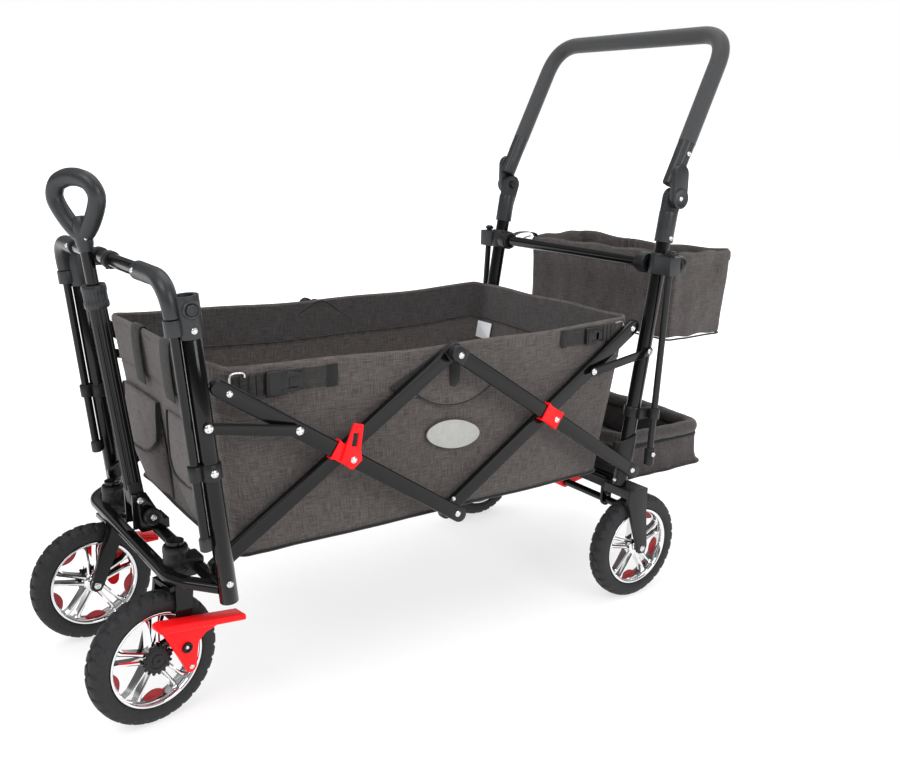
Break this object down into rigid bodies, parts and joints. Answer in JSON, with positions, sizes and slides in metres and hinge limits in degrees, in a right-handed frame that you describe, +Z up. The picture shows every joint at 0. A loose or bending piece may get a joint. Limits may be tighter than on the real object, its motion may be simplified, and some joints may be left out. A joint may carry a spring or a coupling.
{
  "type": "folding wagon",
  "caption": "Folding wagon with scissor side links, fabric tub, pull handle, push bar, swivel front casters, rear basket and foot well.",
  "frame": {"origin": "on the ground under the middle of the outline of the open wagon", "axes": "+Z up, +Y towards the push bar, +X to the right-hand side seen from behind the push bar"},
  "size_m": [0.548, 1.2418, 1.041],
  "materials": {
    "frame": "gloss black powder coat",
    "plastic": "satin moulded plastic",
    "grip": "soft rubberised plastic",
    "foam": "matt closed-cell foam sleeve",
    "chrome": "chromed plastic wheel rims",
    "tyre": "matt black tread",
    "red_plastic": "satin red plastic",
    "fabric": "mottled dark grey woven polyester"
  },
  "bodies": {
    "front_frame": {"front_chassis": "frame", "handle_base_bracket": "plastic", "tub": "fabric", "front_upright_right": "frame", "front_upright_left": "frame", "front_cap_right": "plastic", "front_cap_left": "plastic"},
    "link_a": {"link_a_right": "frame", "link_a_left": "frame"},
    "link_b": {"link_b_right": "frame", "link_b_left": "frame"},
    "link_c": {"link_c_right": "frame", "link_c_left": "frame"},
    "link_d": {"link_d_right": "frame", "link_d_left": "frame"},
    "front_straps": {"front_strap_right": "frame", "front_strap_left": "frame"},
    "rear_straps": {"rear_strap_right": "frame", "rear_strap_left": "frame"},
    "rear_frame": {"rear_axle_beam": "frame", "rear_crossbar": "frame", "basket": "fabric", "foot_well": "fabric", "rear_upright_right": "frame", "rear_upright_left": "frame", "rear_fork_right": "plastic", "rear_fork_left": "plastic", "rear_bracket_right": "plastic", "rear_bracket_left": "plastic", "push_knuckle_right": "plastic", "push_knuckle_left": "plastic"},
    "front_bar": {"front_bar": "plastic", "front_rod_right": "frame", "front_rod_left": "frame"},
    "pull_handle": {"handle_outer_tube": "frame"},
    "handle_inner": {"handle_inner_tube": "frame", "handle_grip": "grip"},
    "rear_brake": {"rear_brake_bar": "frame", "rear_brake_pedal": "red_plastic"},
    "push_bar": {"push_bar": "foam"},
    "front_cap_button_right": {"front_cap_button_right": "plastic"},
    "caster_right": {"caster_fork_right": "frame"},
    "front_wheel_right": {"front_rim_right": "chrome", "front_tyre_right": "tyre"},
    "front_pedal_right": {"front_pedal_right": "red_plastic"},
    "rear_wheel_right": {"rear_rim_right": "chrome", "rear_tyre_right": "tyre"},
    "push_button_right": {"push_button_right": "plastic"},
    "rear_rod_right": {"rear_rod_right": "frame"},
    "fold_lever_right": {"fold_lever_right": "red_plastic"},
    "front_cap_button_left": {"front_cap_button_left": "plastic"},
    "caster_left": {"caster_fork_left": "frame"},
    "front_wheel_left": {"front_rim_left": "chrome", "front_tyre_left": "tyre"},
    "front_pedal_left": {"front_pedal_left": "red_plastic"},
    "rear_wheel_left": {"rear_rim_left": "chrome", "rear_tyre_left": "tyre"},
    "push_button_left": {"push_button_left": "plastic"},
    "rear_rod_left": {"rear_rod_left": "frame"},
    "fold_lever_left": {"fold_lever_left": "red_plastic"}
  },
  "joints": [
    {"name": "fold", "type": "hinge", "parent": "front_frame", "child": "link_b", "pos_m": [0, -0.4441, 0.2555], "axis": [1, 0, 0], "range_deg": [0, 41], "deforming": ["tub"]},
    {"name": "link_a_turn", "type": "hinge", "parent": "link_b", "child": "link_a", "pos_m": [0, -0.24814, 0.38521], "axis": [1, 0, 0], "range_deg": [-82, 0]},
    {"name": "link_c_turn", "type": "hinge", "parent": "link_b", "child": "link_c", "pos_m": [0, -0.05217, 0.51491], "axis": [1, 0, 0], "range_deg": [-82, 0]},
    {"name": "link_d_turn", "type": "hinge", "parent": "link_c", "child": "link_d", "pos_m": [0, 0.14379, 0.38521], "axis": [1, 0, 0], "range_deg": [0, 82]},
    {"name": "rear_frame_turn", "type": "hinge", "parent": "link_c", "child": "rear_frame", "pos_m": [0, 0.33975, 0.2555], "axis": [1, 0, 0], "range_deg": [0, 41]},
    {"name": "front_strap_turn", "type": "hinge", "parent": "front_frame", "child": "front_straps", "pos_m": [0, -0.46515, 0.466], "axis": [1, 0, 0], "range_deg": [0, 74.4]},
    {"name": "rear_strap_turn", "type": "hinge", "parent": "rear_frame", "child": "rear_straps", "pos_m": [0, 0.37623, 0.471], "axis": [1, 0, 0], "range_deg": [-70.2, 0]},
    {"name": "front_bar_lift", "type": "slide", "parent": "front_frame", "child": "front_bar", "axis": [0, -0.0995, 0.995], "range_m": [0, 0.22]},
    {"name": "pull_handle_tilt", "type": "hinge", "parent": "front_frame", "child": "pull_handle", "pos_m": [0, -0.4841, 0.291], "axis": [1, 0, 0], "range_deg": [0, 95]},
    {"name": "pull_handle_extend", "type": "slide", "parent": "pull_handle", "child": "handle_inner", "axis": [0, -0.1231, 0.9924], "range_m": [0, 0.26]},
    {"name": "front_cap_button_right_press", "type": "slide", "parent": "front_frame", "child": "front_cap_button_right", "axis": [-1, 0, 0], "range_m": [0, 0.003], "stiffness_N_per_m": 300},
    {"name": "caster_right_swivel", "type": "hinge", "parent": "front_frame", "child": "caster_right", "pos_m": [0.1475, -0.4761, 0.2], "axis": [0, 0, 1], "continuous": true},
    {"name": "front_wheel_right_spin", "type": "hinge", "parent": "caster_right", "child": "front_wheel_right", "pos_m": [0.15531, -0.52042, 0.1], "axis": [0.9848, 0.1736, 0], "continuous": true},
    {"name": "front_pedal_right_press", "type": "hinge", "parent": "caster_right", "child": "front_pedal_right", "pos_m": [0.17316, -0.47767, 0.112], "axis": [-0.9848, -0.1736, 0], "range_deg": [0, 14]},
    {"name": "rear_wheel_right_spin", "type": "hinge", "parent": "rear_frame", "child": "rear_wheel_right", "pos_m": [0.243, 0.3669, 0.1], "axis": [1, 0, 0], "continuous": true},
    {"name": "push_button_right_press", "type": "slide", "parent": "rear_frame", "child": "push_button_right", "axis": [1, 0, 0], "range_m": [0, 0.003], "stiffness_N_per_m": 300},
    {"name": "rear_rod_right_lift", "type": "slide", "parent": "rear_frame", "child": "rear_rod_right", "axis": [0, 0.0509, 0.9987], "range_m": [0, 0.2]},
    {"name": "fold_lever_right_turn", "type": "hinge", "parent": "link_a", "child": "fold_lever_right", "pos_m": [0, -0.24814, 0.38521], "axis": [1, 0, 0], "range_deg": [0, 40]},
    {"name": "front_cap_button_left_press", "type": "slide", "parent": "front_frame", "child": "front_cap_button_left", "axis": [1, 0, 0], "range_m": [0, 0.003], "stiffness_N_per_m": 300},
    {"name": "caster_left_swivel", "type": "hinge", "parent": "front_frame", "child": "caster_left", "pos_m": [-0.1475, -0.4761, 0.2], "axis": [0, 0, 1], "continuous": true},
    {"name": "front_wheel_left_spin", "type": "hinge", "parent": "caster_left", "child": "front_wheel_left", "pos_m": [-0.14514, -0.52104, 0.1], "axis": [0.9986, 0.0523, 0], "continuous": true},
    {"name": "front_pedal_left_press", "type": "hinge", "parent": "caster_left", "child": "front_pedal_left", "pos_m": [-0.17215, -0.4834, 0.112], "axis": [-0.9986, -0.0523, 0], "range_deg": [0, 14]},
    {"name": "rear_wheel_left_spin", "type": "hinge", "parent": "rear_frame", "child": "rear_wheel_left", "pos_m": [-0.243, 0.3669, 0.1], "axis": [1, 0, 0], "continuous": true},
    {"name": "push_button_left_press", "type": "slide", "parent": "rear_frame", "child": "push_button_left", "axis": [-1, 0, 0], "range_m": [0, 0.003], "stiffness_N_per_m": 300},
    {"name": "rear_rod_left_lift", "type": "slide", "parent": "rear_frame", "child": "rear_rod_left", "axis": [0, 0.0509, 0.9987], "range_m": [0, 0.2]},
    {"name": "fold_lever_left_turn", "type": "hinge", "parent": "link_a", "child": "fold_lever_left", "pos_m": [0, -0.24814, 0.38521], "axis": [1, 0, 0], "range_deg": [0, 40]},
    {"name": "rear_brake_press", "type": "hinge", "parent": "rear_frame", "child": "rear_brake", "pos_m": [0, 0.3549, 0.172], "axis": [-1, 0, 0], "range_deg": [0, 20]},
    {"name": "push_bar_tilt", "type": "hinge", "parent": "rear_frame", "child": "push_bar", "pos_m": [0, 0.4229, 0.741], "axis": [1, 0, 0], "range_deg": [-20, 95]}
  ],
  "couplings": [
    {"joint": "link_a_turn", "follows": "fold", "ratio": -2},
    {"joint": "link_c_turn", "follows": "fold", "ratio": -2},
    {"joint": "link_d_turn", "follows": "fold", "ratio": 2},
    {"joint": "rear_frame_turn", "follows": "fold", "ratio": 1},
    {"joint": "front_strap_turn", "follows": "fold", "ratio": 1.813},
    {"joint": "rear_strap_turn", "follows": "fold", "ratio": -1.712}
  ]
}
